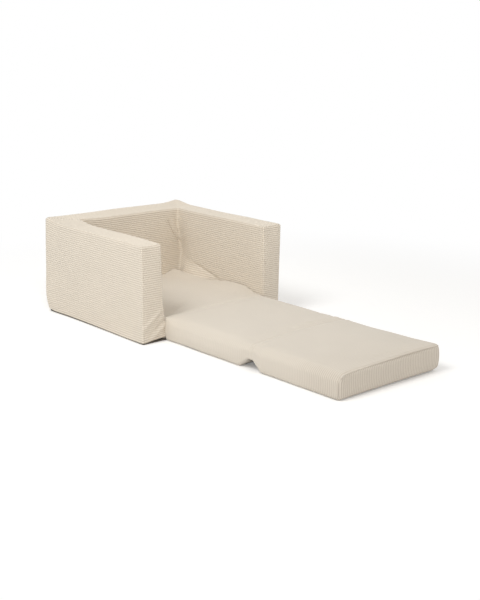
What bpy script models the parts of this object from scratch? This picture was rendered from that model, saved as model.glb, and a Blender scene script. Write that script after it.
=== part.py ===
"""Children's flip-open foam armchair, opened out flat as a lounger.

A U-shaped shell of two arms and a back stands round a fixed base cushion. Two more cushions lie in
front of it. The seat cushion flips back over the base on a fabric hinge, and the backrest cushion
folds up behind it, so that the two make a low armchair. The shell's cover and the covers of the two
loose cushions close with zips.

Metres, +Z up, +Y towards the back. The origin is the middle of the whole part, on the floor.
"""
import math
from collections import namedtuple

import bmesh
import bpy
from mathutils import Matrix, Vector

# Shell
SHELL_WIDTH = 0.550
SHELL_HEIGHT = 0.300
ARM_THICKNESS = 0.077
BACK_THICKNESS = 0.077
SHELL_CORNER = 0.012
SHELL_INNER_CORNER = 0.006
SHELL_TOP_EDGE = 0.006
SHELL_WALL = 0.0015
PANEL_THICKNESS = 0.0012
FOAM_EDGE = 0.011

# Cushions
CUSHION_LENGTH = 0.362
FREE_CORNER = 0.035
HINGED_CORNER = 0.014
BOTTOM_EDGE = 0.009
SEAM_HEIGHT = 0.067
EDGE_RISE = 0.003
CROWN = 0.006
CROWN_FLAT = 0.031
DRAW_IN = 0.003
DRAW_BAND = 0.014
COVER_WALL = 0.0014
CORE_EDGE = 0.006
BASE_CORNER = 0.012

# Welts
WELT_RADIUS = 0.0016
WELT_SIDES = 6
GROOVE_LIP = 0.0030
GROOVE_FLOOR = 0.0009

# Fabric hinges
HINGE_SETBACK = 0.008
HINGE_GAP = 0.0035
LEAF_THICKNESS = 0.0012
LEAF_HEIGHT = 0.026
LEAF_INSET = 0.060
CROWN_CLEARANCE = 0.002
WALL_CLEARANCE = 0.004
SIDE_CLEARANCE = 0.0019

# Zips
SHELL_ZIP_MARGIN = 0.018
SHELL_ZIP_HEIGHT = 0.030
ZIP_MARGIN = 0.050
TAPE_WIDTH = 0.012
TAPE_THICKNESS = 0.0008
CHAIN_WIDTH = 0.005
SLIT_WIDTH = 0.009
SLIDER_LENGTH = 0.010
SLIDER_WIDTH = 0.008
SLIDER_PLATE = 0.0014
SLIDER_FLANGE = 0.0010
CHEEK_LENGTH = 0.003
CHEEK_THICKNESS = 0.0009
BAR_RADIUS = 0.0006
KNUCKLE_BORE = 0.0008
KNUCKLE_RADIUS = 0.0014
KNUCKLE_LENGTH = 0.0028
PULLER_LENGTH = 0.022
PULLER_WIDTH = 0.005
PULLER_THICKNESS = 0.0010
PULLER_HOLE = 0.0012
NECK_OVERLAP = 0.00125

# Fits
CLEARANCE = 0.0003
CORE_GAP = 0.0009
OVERRUN = 0.010
FLATNESS = 0.000005

# Counts and shares
CORNER_STEPS = 4
ROUND_SIDES = 12
NOSE_RING_SHARES = (1.0, 0.65, 0.4)
CROWN_RING_SHARES = (0.0, 0.05, 0.16, 0.36, 0.66, 1.0)
CORE_RING_SHARES = (0.16, 0.36, 0.66, 1.0)
SEAM_BEND_SHARE = 0.3
LEAST_BEND_SHARE = 0.3
PULLER_NECK_SHARE = 0.6
NOSE_BLEND_SHARE = 1.3

# Heights
CUSHION_TOP = SEAM_HEIGHT + EDGE_RISE + CROWN
NOSE_RADIUS = CUSHION_TOP / 2
HINGE_Z = CUSHION_TOP + CROWN_CLEARANCE
SHELL_FLOOR = PANEL_THICKNESS + CLEARANCE
CORE_SIDE = DRAW_IN + COVER_WALL
NOSE_TOP = SEAM_HEIGHT - GROOVE_LIP - EDGE_RISE

# Slider heights over the face of the cover
PLATE_LOW = 2 * CLEARANCE
PLATE_HIGH = PLATE_LOW + SLIDER_PLATE
BAR_HEIGHT = PLATE_HIGH + KNUCKLE_RADIUS + CLEARANCE
SLIDER_REACH = BAR_HEIGHT + KNUCKLE_RADIUS

# Places along the length
INNER_DEPTH = HINGE_SETBACK + CUSHION_LENGTH + 3 * HINGE_GAP + CUSHION_TOP + WALL_CLEARANCE
SHELL_DEPTH = INNER_DEPTH + BACK_THICKNESS
FRONT_REACH = 2 * CUSHION_LENGTH + 3 * HINGE_GAP - HINGE_SETBACK
SHELL_FRONT = (FRONT_REACH + WELT_RADIUS - SHELL_DEPTH - SLIDER_REACH) / 2
SHELL_BACK = SHELL_FRONT + SHELL_DEPTH
BACK_INNER = SHELL_BACK - BACK_THICKNESS
HINGE_Y = SHELL_FRONT + HINGE_SETBACK
SEAT_REAR = HINGE_Y - HINGE_GAP
SEAT_FRONT = SEAT_REAR - CUSHION_LENGTH
FOLD_Y = SEAT_FRONT - HINGE_GAP
BACKREST_REAR = FOLD_Y - HINGE_GAP
BACKREST_FRONT = BACKREST_REAR - CUSHION_LENGTH

# Places across the width
INNER_HALF = SHELL_WIDTH / 2 - ARM_THICKNESS
CUSHION_HALF = INNER_HALF - SLIDER_REACH + DRAW_IN - SIDE_CLEARANCE
CROWN_SPAN = min(CUSHION_HALF, CUSHION_LENGTH / 2) - CROWN_FLAT
SHELL_ZIP_LENGTH = 2 * (INNER_HALF - SHELL_ZIP_MARGIN)

Kit = namedtuple("Kit", "parts cutters materials")


def clear_scene():
    for old in list(bpy.data.objects):
        bpy.data.objects.remove(old, do_unlink=True)


def new_collection(name):
    collection = bpy.data.collections.new(name)
    bpy.context.scene.collection.children.link(collection)
    return collection


def new_material(name, colour, roughness, metallic=0.0):
    material = bpy.data.materials.new(name)
    material.use_nodes = True
    shader = material.node_tree.nodes["Principled BSDF"]
    shader.inputs["Base Color"].default_value = (*colour, 1.0)
    shader.inputs["Roughness"].default_value = roughness
    shader.inputs["Metallic"].default_value = metallic
    return material


def add_object(name, mesh, collection, material=None):
    piece = bpy.data.objects.new(name, mesh)
    collection.objects.link(piece)
    if material:
        mesh.materials.append(material)
    return piece


def mesh_from(name, shape):
    bmesh.ops.recalc_face_normals(shape, faces=shape.faces)
    mesh = bpy.data.meshes.new(name)
    shape.to_mesh(mesh)
    shape.free()
    return mesh


def box_mesh(name, low, high):
    """A box between two corners."""
    low, high = Vector(low), Vector(high)
    shape = bmesh.new()
    bmesh.ops.create_cube(shape, size=1.0)
    bmesh.ops.scale(shape, vec=high - low, verts=shape.verts)
    bmesh.ops.translate(shape, vec=(low + high) / 2, verts=shape.verts)
    return mesh_from(name, shape)


def rod_mesh(name, radius, start, end):
    """A round bar between two points."""
    start, end = Vector(start), Vector(end)
    shape = bmesh.new()
    bmesh.ops.create_cone(shape, cap_ends=True, segments=ROUND_SIDES, radius1=radius, radius2=radius,
                          depth=(end - start).length)
    turn = Vector((0, 0, 1)).rotation_difference(end - start).to_matrix().to_4x4()
    bmesh.ops.transform(shape, matrix=Matrix.Translation((start + end) / 2) @ turn, verts=shape.verts)
    return mesh_from(name, shape)


def rectangle(half_width, front, rear):
    return ((-half_width, front), (half_width, front), (half_width, rear), (-half_width, rear))


def outline(corners, radii, inset=0.0, extra=()):
    """Points round a right-angled plan, drawn in by inset, with its corners rounded.

    Corners run anticlockwise, and radii has one for each. For each corner, extra may hold shares of
    the straight run after it where one more point goes.
    """
    arcs = []
    spots = [Vector(corner) for corner in corners]
    for index, spot in enumerate(spots):
        before = (spot - spots[index - 1]).normalized()
        after = (spots[(index + 1) % len(spots)] - spot).normalized()
        turns_in = before.x * after.y - before.y * after.x < 0
        radius = radii[index]
        bend = radius + inset if turns_in else max(radius - inset, radius * LEAST_BEND_SHARE)
        inward = Vector((-before.y, before.x)) + Vector((-after.y, after.x))
        centre = spot + inset * inward + bend * (after - before)
        angles = [math.pi / 2 * step / CORNER_STEPS for step in range(CORNER_STEPS + 1)]
        arcs.append([centre + bend * (before * math.sin(angle) - after * math.cos(angle))
                     for angle in angles])
    points = []
    for index, arc in enumerate(arcs):
        following = arcs[(index + 1) % len(arcs)]
        points += arc
        points += [arc[-1].lerp(following[0], share) for share in (extra[index] if extra else ())]
    return points


def loft(name, rings):
    """A closed skin through rings of equally many points, capped at both ends.

    Where a side isn't flat its two triangles always lean the same way, so that a skin inside another
    keeps its gap.
    """
    shape = bmesh.new()
    rows = [[shape.verts.new(point) for point in ring] for ring in rings]
    for lower, upper in zip(rows, rows[1:]):
        for index in range(len(lower)):
            after = (index + 1) % len(lower)
            quad = (lower[index], lower[after], upper[after], upper[index])
            normal = (quad[1].co - quad[0].co).cross(quad[2].co - quad[0].co).normalized()
            if abs(normal.dot(quad[3].co - quad[0].co)) < FLATNESS:
                shape.faces.new(quad)
            else:
                shape.faces.new(quad[:3])
                shape.faces.new((quad[0], quad[2], quad[3]))
    shape.faces.new(rows[0])
    shape.faces.new(rows[-1])
    return mesh_from(name, shape)


def cutter(mesh, cutters):
    tool = add_object(mesh.name, mesh, cutters)
    tool.hide_render = True
    tool.display_type = "WIRE"
    return tool


def combine(piece, mesh, cutters, operation):
    """A Boolean of one more mesh with a piece, kept as a modifier."""
    change = piece.modifiers.new(mesh.name, "BOOLEAN")
    change.operation = operation
    change.solver = "EXACT"
    change.object = cutter(mesh, cutters)


def world_place(thing):
    place = Vector()
    while thing:
        place += thing.location
        thing = thing.parent
    return place


def make_carrier(name, place, parent, collection):
    """An empty that carries the pieces of one moving body. It stands on the body's joint axis."""
    carrier = add_object(name, None, collection)
    carrier.location = Vector(place) - world_place(parent)
    carrier.parent = parent
    return carrier


def settle(piece, carrier):
    """Put a piece's origin under its middle, and hang it and its cutters on what carries it."""
    corners = [vertex.co for vertex in piece.data.vertices]
    low = Vector([min(corner[axis] for corner in corners) for axis in range(3)])
    high = Vector([max(corner[axis] for corner in corners) for axis in range(3)])
    origin = Vector(((low.x + high.x) / 2, (low.y + high.y) / 2, low.z))
    piece.data.transform(Matrix.Translation(-origin))
    piece.location = origin - world_place(carrier)
    piece.parent = carrier
    for change in piece.modifiers:
        if change.type == "BOOLEAN":
            change.object.parent = piece
            change.object.location = -origin


def bevel(piece, width, segments):
    edge = piece.modifiers.new("rounded_edges", "BEVEL")
    edge.width = width
    edge.segments = segments
    edge.limit_method = "ANGLE"


def shade(piece, degrees=40):
    piece.data.shade_smooth()
    piece.data.set_sharp_from_angle(angle=math.radians(degrees))


def crown_height(spot, half_width, free_ends):
    """Height of a cushion's top over a point. It falls towards the long sides and the free ends.

    A free end is its y and the direction into the cushion. Over a hinge or fold the top runs level.
    """
    distances = [half_width - abs(spot.x)] + [(spot.y - end) * into for end, into in free_ends]
    share = min(max(min(distances) / CROWN_SPAN, 0.0), 1.0)
    return SEAM_HEIGHT + EDGE_RISE + CROWN * math.sin(math.pi / 2 * share)


def nose_floor(distance, side, bottom):
    """Height of the quarter-round underside of a cushion's folding end, this far from the end."""
    if distance >= NOSE_RADIUS:
        return bottom
    across = min((NOSE_RADIUS - distance) / (NOSE_RADIUS - side), 1.0)
    return NOSE_RADIUS - (NOSE_RADIUS - bottom) * math.sqrt(1.0 - across * across)


def lift_over_nose(point, nose, side, bottom):
    """The point moved up where the underside of the folding end curves away from the floor."""
    nose_y, into = nose
    distance = (point.y - nose_y) * into
    floor = nose_floor(distance, side, bottom)
    if point.z >= NOSE_TOP:
        return point
    share = (NOSE_TOP - floor) / (NOSE_TOP - bottom)
    return Vector((point.x, point.y, floor + (point.z - bottom) * share))


def cushion_plan(front, rear, free_ends):
    """Corners, their radii and the extra points of a loose cushion's outline."""
    corners = rectangle(CUSHION_HALF, front, rear)
    free = [end for end, into in free_ends]
    radii = [FREE_CORNER if corner[1] in free else HINGED_CORNER for corner in corners]
    long_side = (0.08, 0.5, 0.92)
    extra = ((0.5,), long_side, (0.5,), long_side)
    return corners, radii, extra


def cover_rings(front, rear, nose, free_ends):
    """Rings of a cushion cover: flat bottom, drawn-in sides, welt groove and crown."""
    corners, radii, extra = cushion_plan(front, rear, free_ends)
    middle = CUSHION_TOP / 2
    bend = BOTTOM_EDGE * SEAM_BEND_SHARE
    groove = WELT_RADIUS + 2 * CLEARANCE
    levels = [(NOSE_RADIUS * share, 0.0) for share in NOSE_RING_SHARES]
    levels += [
        (BOTTOM_EDGE, 0.0),
        (bend, bend),
        (0.0, BOTTOM_EDGE),
        (0.0, middle - DRAW_BAND / 2),
        (0.0, middle + DRAW_BAND / 2),
        (0.0, NOSE_TOP),
        (0.0, SEAM_HEIGHT - GROOVE_LIP),
        (groove, SEAM_HEIGHT - GROOVE_FLOOR),
        (groove, SEAM_HEIGHT + GROOVE_FLOOR),
    ]
    rings = []
    for inset, height in levels:
        plain = outline(corners, radii, inset, extra)
        pulled = outline(corners, radii, inset + DRAW_IN, extra)
        drawn = abs(height - middle) < DRAW_BAND
        ring = []
        for outer, inner in zip(plain, pulled):
            away = (outer.y - nose[0]) * nose[1] / (NOSE_RADIUS * NOSE_BLEND_SHARE)
            spot = outer.lerp(inner, min(max(away, 0.0), 1.0) if drawn else 0.0)
            ring.append(lift_over_nose(Vector((spot.x, spot.y, height)), nose, 0.0, 0.0))
        rings.append(ring)
    for share in CROWN_RING_SHARES:
        inset = GROOVE_FLOOR + share * (CROWN_SPAN - GROOVE_FLOOR)
        plan = outline(corners, radii, inset, extra)
        rings.append([Vector((*spot, crown_height(spot, CUSHION_HALF, free_ends))) for spot in plan])
    return rings


def core_rings(front, rear, nose, free_ends, gap):
    """Rings of the foam core, or of the hollow that holds it where gap is zero."""
    corners, radii, extra = cushion_plan(front, rear, free_ends)
    side = CORE_SIDE + gap
    bottom = COVER_WALL + gap
    bend = CORE_EDGE * SEAM_BEND_SHARE
    levels = [(NOSE_RADIUS * share, bottom) for share in NOSE_RING_SHARES]
    levels += [
        (side + bend, bottom + bend),
        (side, bottom + CORE_EDGE),
        (side, NOSE_TOP),
        (side, SEAM_HEIGHT + EDGE_RISE - bottom - bend),
    ]
    rings = []
    for inset, height in levels:
        spots = [Vector((*spot, height)) for spot in outline(corners, radii, inset, extra)]
        rings.append([lift_over_nose(spot, nose, side + gap, bottom + gap) for spot in spots])
    for share in CORE_RING_SHARES:
        inset = side + CORE_EDGE + share * (CROWN_SPAN - side - CORE_EDGE)
        plan = outline(corners, radii, inset, extra)
        tops = [crown_height(spot, CUSHION_HALF, free_ends) - bottom for spot in plan]
        rings.append([Vector((*spot, top)) for spot, top in zip(plan, tops)])
    return rings


def make_welt(name, front, rear, free_ends, collection, material):
    """A closed cord that lies in the cover's groove, as a loft of hexagons round the plan."""
    corners, radii, extra = cushion_plan(front, rear, free_ends)
    path = [Vector((*spot, SEAM_HEIGHT)) for spot in outline(corners, radii, 0.0, extra)]
    shape = bmesh.new()
    hoops = []
    for index, spot in enumerate(path):
        ahead = (path[(index + 1) % len(path)] - spot).normalized()
        behind = (spot - path[index - 1]).normalized()
        outward = (ahead + behind).normalized().cross(Vector((0, 0, 1)))
        hoop = []
        for side in range(WELT_SIDES):
            angle = 2 * math.pi * side / WELT_SIDES
            away = outward * math.cos(angle) + Vector((0, 0, math.sin(angle)))
            hoop.append(shape.verts.new(spot + WELT_RADIUS * away))
        hoops.append(hoop)
    for index, hoop in enumerate(hoops):
        following = hoops[(index + 1) % len(hoops)]
        for side in range(WELT_SIDES):
            after = (side + 1) % WELT_SIDES
            shape.faces.new((hoop[side], following[side], following[after], hoop[after]))
    welt = add_object(name, mesh_from(name, shape), collection, material)
    shade(welt, 80)
    return welt


def zip_frame(centre, along, outward):
    """Matrix from zip axes (along, across, out of the cover) to the part's own."""
    along, outward = Vector(along), Vector(outward)
    across = outward.cross(along)
    turn = Matrix((along, across, outward)).transposed().to_4x4()
    return Matrix.Translation(Vector(centre)) @ turn


def slit_box(name, length, wall, place):
    mesh = box_mesh(name, (-length / 2, -SLIT_WIDTH / 2, -wall - OVERRUN / 2),
                    (length / 2, SLIT_WIDTH / 2, OVERRUN / 2))
    mesh.transform(place)
    return mesh


def tape_recess(name, length, wall, place):
    """The shallow bed that the tape's thickness takes in the foam."""
    half_length = length / 2 + TAPE_WIDTH / 2 + CLEARANCE
    half_width = TAPE_WIDTH / 2 + CLEARANCE
    depth = wall + 2 * CLEARANCE + TAPE_THICKNESS
    mesh = box_mesh(name, (-half_length, -half_width, -depth), (half_length, half_width, OVERRUN))
    mesh.transform(place)
    return mesh


def make_zip(prefix, length, wall, place, carrier, kit):
    """Tape with its chain, slider and puller. The slider starts at one end of the slit."""
    parts, cutters, materials = kit
    tape_high = -wall - CLEARANCE
    tape_low = tape_high - TAPE_THICKNESS
    half = length / 2 - CLEARANCE
    tape = box_mesh(prefix + "_zip", (-length / 2 - TAPE_WIDTH / 2, -TAPE_WIDTH / 2, tape_low),
                    (length / 2 + TAPE_WIDTH / 2, TAPE_WIDTH / 2, tape_high))
    chain = box_mesh(prefix + "_chain", (-half, -CHAIN_WIDTH / 2, tape_high - TAPE_THICKNESS / 2),
                     (half, CHAIN_WIDTH / 2, CLEARANCE))
    for mesh in (tape, chain):
        mesh.transform(place)
    band = add_object(prefix + "_zip", tape, parts, materials["zip"])
    combine(band, chain, cutters, "UNION")
    settle(band, carrier)

    # The slider runs along the chain: plate, flanges, cheeks and bar
    start = place @ Matrix.Translation((-half + SLIDER_LENGTH / 2, 0, 0))
    slide_carrier = make_carrier(prefix + "_slider_start", start.translation, carrier, parts)
    flange_in = CHAIN_WIDTH / 2 + CLEARANCE
    flange_out = flange_in + SLIDER_FLANGE
    slider = add_object(prefix + "_slider", box_mesh(
        prefix + "_slider", (-SLIDER_LENGTH / 2, -SLIDER_WIDTH / 2, PLATE_LOW),
        (SLIDER_LENGTH / 2, SLIDER_WIDTH / 2, PLATE_HIGH)), parts, materials["metal"])
    cheek_in = KNUCKLE_LENGTH / 2 + CLEARANCE
    cheek_out = cheek_in + CHEEK_THICKNESS
    for label, side in (("left", -1), ("right", 1)):
        lows = sorted((side * flange_in, side * flange_out))
        flange = box_mesh(prefix + "_flange_" + label,
                          (-SLIDER_LENGTH / 2, lows[0], -wall / 2),
                          (SLIDER_LENGTH / 2, lows[1], PLATE_HIGH - SLIDER_PLATE / 2))
        lows = sorted((side * cheek_in, side * cheek_out))
        cheek = box_mesh(prefix + "_cheek_" + label,
                         (-CHEEK_LENGTH / 2, lows[0], PLATE_HIGH - SLIDER_PLATE / 2),
                         (CHEEK_LENGTH / 2, lows[1], BAR_HEIGHT + KNUCKLE_RADIUS - CLEARANCE))
        for mesh in (flange, cheek):
            mesh.transform(start)
            combine(slider, mesh, cutters, "UNION")
    bar_half = (cheek_in + cheek_out) / 2
    bar = rod_mesh(prefix + "_bar", BAR_RADIUS, (0, -bar_half, BAR_HEIGHT), (0, bar_half, BAR_HEIGHT))
    bar.transform(start)
    combine(slider, bar, cutters, "UNION")
    slider.data.transform(start)
    settle(slider, slide_carrier)

    # The puller turns on the slider's bar
    hang = start @ Matrix.Translation((0, 0, BAR_HEIGHT))
    pull_carrier = make_carrier(prefix + "_puller_axis", hang.translation, slide_carrier, parts)
    knuckle_half = KNUCKLE_LENGTH / 2
    eye = rod_mesh(prefix + "_puller", KNUCKLE_RADIUS, (0, -knuckle_half, 0), (0, knuckle_half, 0))
    puller = add_object(prefix + "_puller", eye, parts, materials["metal"])
    neck = box_mesh(prefix + "_neck",
                    (KNUCKLE_RADIUS * PULLER_NECK_SHARE, -knuckle_half, -PULLER_THICKNESS / 2),
                    (SLIDER_LENGTH / 2, knuckle_half, PULLER_THICKNESS / 2))
    tab = tab_mesh(prefix + "_tab")
    bore = rod_mesh(prefix + "_bore", KNUCKLE_BORE, (0, -KNUCKLE_LENGTH, 0), (0, KNUCKLE_LENGTH, 0))
    tab_hole = rod_mesh(prefix + "_tab_hole", PULLER_HOLE,
                        (PULLER_LENGTH - PULLER_WIDTH / 2, 0, -PULLER_THICKNESS),
                        (PULLER_LENGTH - PULLER_WIDTH / 2, 0, PULLER_THICKNESS))
    changes = ((neck, "UNION"), (tab, "UNION"), (bore, "DIFFERENCE"), (tab_hole, "DIFFERENCE"))
    for mesh, operation in changes:
        mesh.transform(hang)
        combine(puller, mesh, cutters, operation)
    puller.data.transform(hang)
    settle(puller, pull_carrier)


def tab_mesh(name):
    """Flat tab with a round end, lying along the zip."""
    radius = PULLER_WIDTH / 2
    end = PULLER_LENGTH - radius
    near = SLIDER_LENGTH / 2 - NECK_OVERLAP
    plan = [Vector((near, -KNUCKLE_LENGTH / 2)), Vector((SLIDER_LENGTH / 2, -radius))]
    for step in range(ROUND_SIDES // 2 + 1):
        angle = math.pi * (step / (ROUND_SIDES // 2) - 0.5)
        plan.append(Vector((end + radius * math.cos(angle), radius * math.sin(angle))))
    plan += [Vector((SLIDER_LENGTH / 2, radius)), Vector((near, KNUCKLE_LENGTH / 2))]
    half = PULLER_THICKNESS / 2
    return loft(name, [[Vector((spot.x, spot.y, height)) for spot in plan] for height in (-half, half)])


def make_cushion(prefix, front, rear, nose, free_ends, carrier, kit):
    """Foam core, zipped cover and welt of one of the two loose cushions."""
    parts, cutters, materials = kit
    zip_length = CUSHION_LENGTH - 2 * ZIP_MARGIN
    place = zip_frame((CUSHION_HALF - DRAW_IN, (front + rear) / 2, CUSHION_TOP / 2), (0, 1, 0), (1, 0, 0))
    skin = loft(prefix + "_cover", cover_rings(front, rear, nose, free_ends))
    cover = add_object(prefix + "_cover", skin, parts, materials["corduroy"])
    hollow = loft(prefix + "_hollow", core_rings(front, rear, nose, free_ends, 0.0))
    combine(cover, hollow, cutters, "DIFFERENCE")
    combine(cover, slit_box(prefix + "_slit", zip_length, COVER_WALL, place), cutters, "DIFFERENCE")
    shade(cover)
    core = loft(prefix + "_foam", core_rings(front, rear, nose, free_ends, CORE_GAP))
    foam = add_object(prefix + "_foam", core, parts, materials["foam"])
    combine(foam, tape_recess(prefix + "_tape_bed", zip_length, COVER_WALL, place), cutters, "DIFFERENCE")
    shade(foam)
    welt = make_welt(prefix + "_welt", front, rear, free_ends, parts, materials["corduroy"])
    for piece in (cover, foam, welt):
        settle(piece, carrier)
    make_zip(prefix, zip_length, COVER_WALL, place, carrier, kit)


def shell_plan():
    half = SHELL_WIDTH / 2
    return ((-half, SHELL_FRONT), (-INNER_HALF, SHELL_FRONT), (-INNER_HALF, BACK_INNER),
            (INNER_HALF, BACK_INNER), (INNER_HALF, SHELL_FRONT), (half, SHELL_FRONT),
            (half, SHELL_BACK), (-half, SHELL_BACK))


def shell_ring(inset, height):
    corners = shell_plan()
    radii = [SHELL_INNER_CORNER if abs(x) < SHELL_WIDTH / 2 and y == BACK_INNER else SHELL_CORNER
             for x, y in corners]
    plan = outline(corners, radii, inset)
    return [Vector((*spot, height)) for spot in plan]


def make_shell(carrier, kit):
    """U-shaped cover over three foam blocks, on one non-slip panel."""
    parts, cutters, materials = kit
    bend = SHELL_TOP_EDGE * SEAM_BEND_SHARE
    outside = [
        shell_ring(0.0, SHELL_FLOOR),
        shell_ring(0.0, SHELL_HEIGHT - SHELL_TOP_EDGE),
        shell_ring(bend, SHELL_HEIGHT - bend),
        shell_ring(SHELL_TOP_EDGE, SHELL_HEIGHT),
    ]
    hollow_top = SHELL_HEIGHT - SHELL_WALL
    hollow = [
        shell_ring(SHELL_WALL, -OVERRUN),
        shell_ring(SHELL_WALL, hollow_top - SHELL_TOP_EDGE),
        shell_ring(SHELL_WALL + SHELL_TOP_EDGE, hollow_top),
    ]
    place = zip_frame((0, SHELL_BACK, SHELL_ZIP_HEIGHT), (1, 0, 0), (0, 1, 0))
    cover = add_object("shell_cover", loft("shell_cover", outside), parts, materials["corduroy"])
    combine(cover, loft("shell_hollow", hollow), cutters, "DIFFERENCE")
    combine(cover, slit_box("shell_slit", SHELL_ZIP_LENGTH, SHELL_WALL, place), cutters, "DIFFERENCE")
    shade(cover)

    inset = SHELL_WALL + CLEARANCE
    half = SHELL_WIDTH / 2
    floor = SHELL_FLOOR
    top = SHELL_HEIGHT - inset
    blocks = {
        "left_arm_foam": ((-half + inset, SHELL_FRONT + inset, floor),
                          (-INNER_HALF - inset, SHELL_BACK - inset, top)),
        "right_arm_foam": ((INNER_HALF + inset, SHELL_FRONT + inset, floor),
                           (half - inset, SHELL_BACK - inset, top)),
        "back_foam": ((-INNER_HALF - inset + CLEARANCE, BACK_INNER + inset, floor),
                      (INNER_HALF + inset - CLEARANCE, SHELL_BACK - inset, top)),
    }
    for name, (low, high) in blocks.items():
        block = add_object(name, box_mesh(name, low, high), parts, materials["foam"])
        if name != "back_foam":
            bevel(block, FOAM_EDGE, 3)
        else:
            bevel_top(block)
            bed = tape_recess("shell_tape_bed", SHELL_ZIP_LENGTH, SHELL_WALL, place)
            combine(block, bed, cutters, "DIFFERENCE")
        settle(block, carrier)
    settle(cover, carrier)
    make_zip("shell", SHELL_ZIP_LENGTH, SHELL_WALL, place, carrier, kit)

    corners = rectangle(SHELL_WIDTH / 2, SHELL_FRONT, SHELL_BACK)
    plan = outline(corners, [SHELL_CORNER] * len(corners))
    sheet = [[Vector((*spot, height)) for spot in plan] for height in (0.0, PANEL_THICKNESS)]
    panel = add_object("underside_panel", loft("underside_panel", sheet), parts, materials["nonslip"])
    settle(panel, carrier)


def bevel_top(block):
    """Only the back block's two top edges are rounded: its ends butt against the arms."""
    weights = block.data.attributes.new("bevel_weight_edge", "FLOAT", "EDGE")
    top = max(vertex.co.z for vertex in block.data.vertices)
    for edge in block.data.edges:
        ends = [block.data.vertices[index].co for index in edge.vertices]
        lies_on_top = all(abs(end.z - top) < CLEARANCE for end in ends)
        if lies_on_top and abs(ends[0].x - ends[1].x) > CLEARANCE:
            weights.data[edge.index].value = 1.0
    edge_round = block.modifiers.new("rounded_top", "BEVEL")
    edge_round.width = FOAM_EDGE
    edge_round.segments = 3
    edge_round.limit_method = "WEIGHT"


def base_rings(drop, low):
    """Rings of the base cushion, or of a layer this far inside it, down to a height below it."""
    half = INNER_HALF - CLEARANCE
    rear = BACK_INNER - CLEARANCE
    corners = rectangle(half, HINGE_Y + HINGE_GAP, rear)
    radii = [BASE_CORNER] * len(corners)
    side = outline(corners, radii, drop)
    rings = [[Vector((*spot, height)) for spot in side] for height in (low, SEAM_HEIGHT - EDGE_RISE)]
    for share in CROWN_RING_SHARES:
        inset = drop + EDGE_RISE + share * (CROWN_SPAN - drop - EDGE_RISE)
        plan = outline(corners, radii, inset)
        rings.append([Vector((*spot, crown_height(spot, half, ((rear, -1),)) - drop)) for spot in plan])
    return rings


def make_base(carrier, kit):
    """The fixed cushion between the arms. Its cover is open below, on the panel."""
    parts, cutters, materials = kit
    cover = add_object("base_cover", loft("base_cover", base_rings(0.0, SHELL_FLOOR)),
                       parts, materials["corduroy"])
    combine(cover, loft("base_hollow", base_rings(COVER_WALL, -OVERRUN)), cutters, "DIFFERENCE")
    shade(cover)
    foam = add_object("base_foam", loft("base_foam", base_rings(COVER_WALL + CLEARANCE, SHELL_FLOOR)),
                      parts, materials["foam"])
    shade(foam)
    settle(cover, carrier)
    settle(foam, carrier)


def make_leaf(name, hinge_y, side, carrier, kit):
    """One leaf of a fabric hinge, standing between two cushions. Side is +1 behind the hinge."""
    near, far = side * CLEARANCE, side * (CLEARANCE + LEAF_THICKNESS)
    half = CUSHION_HALF - LEAF_INSET
    top = HINGE_Z - 2 * CLEARANCE
    low = (-half, hinge_y + min(near, far), top - LEAF_HEIGHT)
    high = (half, hinge_y + max(near, far), top)
    leaf = add_object(name, box_mesh(name, low, high), kit.parts, kit.materials["corduroy"])
    bevel(leaf, LEAF_THICKNESS / 4, 1)
    settle(leaf, carrier)


def build():
    clear_scene()
    parts = new_collection("childrens_flip_armchair")
    materials = {
        "corduroy": new_material("cream_corduroy", (0.72, 0.65, 0.54), 0.95),
        "foam": new_material("polyurethane_foam", (0.86, 0.80, 0.58), 0.9),
        "nonslip": new_material("nonslip_fabric", (0.10, 0.09, 0.08), 0.8),
        "zip": new_material("cream_zip_tape", (0.68, 0.61, 0.50), 0.7),
        "metal": new_material("nickel_plate", (0.62, 0.61, 0.58), 0.3, 1.0),
    }
    kit = Kit(parts, new_collection("cutters"), materials)
    root = make_carrier("armchair", (0, 0, 0), None, parts)
    seat = make_carrier("seat_hinge_axis", (0, HINGE_Y, HINGE_Z), root, parts)
    fold_place = (0, BACKREST_REAR - NOSE_RADIUS, NOSE_RADIUS)
    backrest = make_carrier("backrest_fold_axis", fold_place, seat, parts)
    make_shell(root, kit)
    make_base(root, kit)
    make_cushion("seat", SEAT_FRONT, SEAT_REAR, (SEAT_FRONT, 1), (), seat, kit)
    make_cushion("backrest", BACKREST_FRONT, BACKREST_REAR, (BACKREST_REAR, -1),
                 ((BACKREST_FRONT, 1),), backrest, kit)
    make_leaf("base_hinge_leaf", HINGE_Y, 1, root, kit)
    make_leaf("seat_hinge_leaf", HINGE_Y, -1, seat, kit)
    make_leaf("seat_fold_leaf", FOLD_Y, 1, seat, kit)
    make_leaf("backrest_fold_leaf", FOLD_Y, -1, backrest, kit)


build()
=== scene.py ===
import math

import bpy
import numpy as np
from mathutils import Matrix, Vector, noise


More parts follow.
